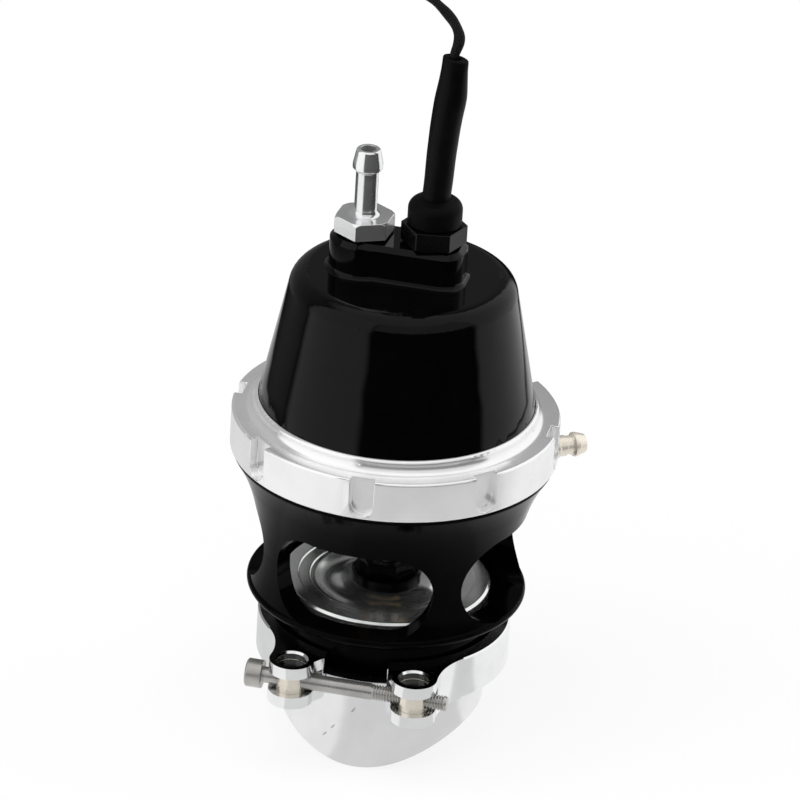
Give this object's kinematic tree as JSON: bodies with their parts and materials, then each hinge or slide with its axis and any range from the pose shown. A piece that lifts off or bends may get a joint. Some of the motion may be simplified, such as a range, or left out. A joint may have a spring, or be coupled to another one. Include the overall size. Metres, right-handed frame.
{
  "type": "blow off valve",
  "caption": "Spring loaded relief valve for a turbo charge pipe: windowed body with a sprung disc, diaphragm cap, threaded collar, position sensor, V clamp and saddle weld flange.",
  "frame": {"origin": "on the valve axis, at the crest of the charge pipe that the weld flange stands on", "axes": "+Z along the valve axis towards the cap, X along the charge pipe, -Y towards the open front of the clamp"},
  "size_m": [0.0829, 0.0932, 0.1977],
  "materials": {
    "gloss_black": "gloss black",
    "satin_black": "satin black",
    "polished_aluminium": "polished",
    "bright_tube": "turned and polished",
    "turned_aluminium": "turned",
    "warm_nickel": "warm nickel plate",
    "plated_steel": "zinc plate",
    "ground_steel": "ground",
    "black_anodised": "black anodised",
    "black_rubber": "matte",
    "brown_rubber": "fabric backed",
    "bronze": "sintered",
    "magnet_dark": "plain",
    "shrink_sleeve": "matte black",
    "lead_braid": "braided sleeve"
  },
  "bodies": {
    "housing": {"weld_flange": "bright_tube", "joint_ring": "black_rubber", "clamp_right": "polished_aluminium", "hinge_pin": "plated_steel", "body": "satin_black", "guide_bush": "bronze", "stem_seal": "black_rubber", "diaphragm": "brown_rubber", "spring": "ground_steel", "collar": "polished_aluminium", "cap": "gloss_black", "nipple_washer": "black_rubber", "top_nipple": "polished_aluminium", "side_nipple": "warm_nickel", "sensor_washer": "black_rubber", "sensor": "black_anodised", "sensor_boot": "black_rubber", "heat_shrink": "shrink_sleeve", "sensor_lead": "lead_braid", "lead_connector": "shrink_sleeve"},
    "valve": {"valve_disc": "turned_aluminium", "seat_ring": "black_rubber", "disc_hub": "black_anodised", "disc_nut": "plated_steel", "valve_stem": "ground_steel", "lower_plate": "turned_aluminium", "upper_plate": "turned_aluminium", "stem_nut": "plated_steel", "magnet": "magnet_dark"},
    "left_clamp": {"clamp_left": "polished_aluminium"},
    "clamp_bolt": {"plain_barrel": "warm_nickel", "clamp_screw": "plated_steel"},
    "clamp_barrel": {"threaded_barrel": "warm_nickel"}
  },
  "joints": [
    {"name": "valve_lift", "type": "slide", "parent": "housing", "child": "valve", "axis": [0, 0, 1], "range_m": [0, 0.009], "stiffness_N_per_m": 4000, "springref_m": -0.015, "deforming": ["spring", "diaphragm"]},
    {"name": "clamp_open", "type": "hinge", "parent": "housing", "child": "left_clamp", "pos_m": [0, 0.0335, 0.0162], "axis": [0, 0, -1], "range_deg": [0, 4]},
    {"name": "screw_swivel", "type": "hinge", "parent": "left_clamp", "child": "clamp_bolt", "pos_m": [-0.0153, -0.03285, 0.0162], "axis": [0, 0, -1], "range_deg": [-2, 0]},
    {"name": "barrel_swivel", "type": "hinge", "parent": "housing", "child": "clamp_barrel", "pos_m": [0.0153, -0.03285, 0.0162], "axis": [0, 0, -1], "range_deg": [0, 2]}
  ],
  "couplings": [
    {"joint": "screw_swivel", "follows": "clamp_open", "ratio": -0.5},
    {"joint": "barrel_swivel", "follows": "clamp_open", "ratio": 0.5}
  ]
}
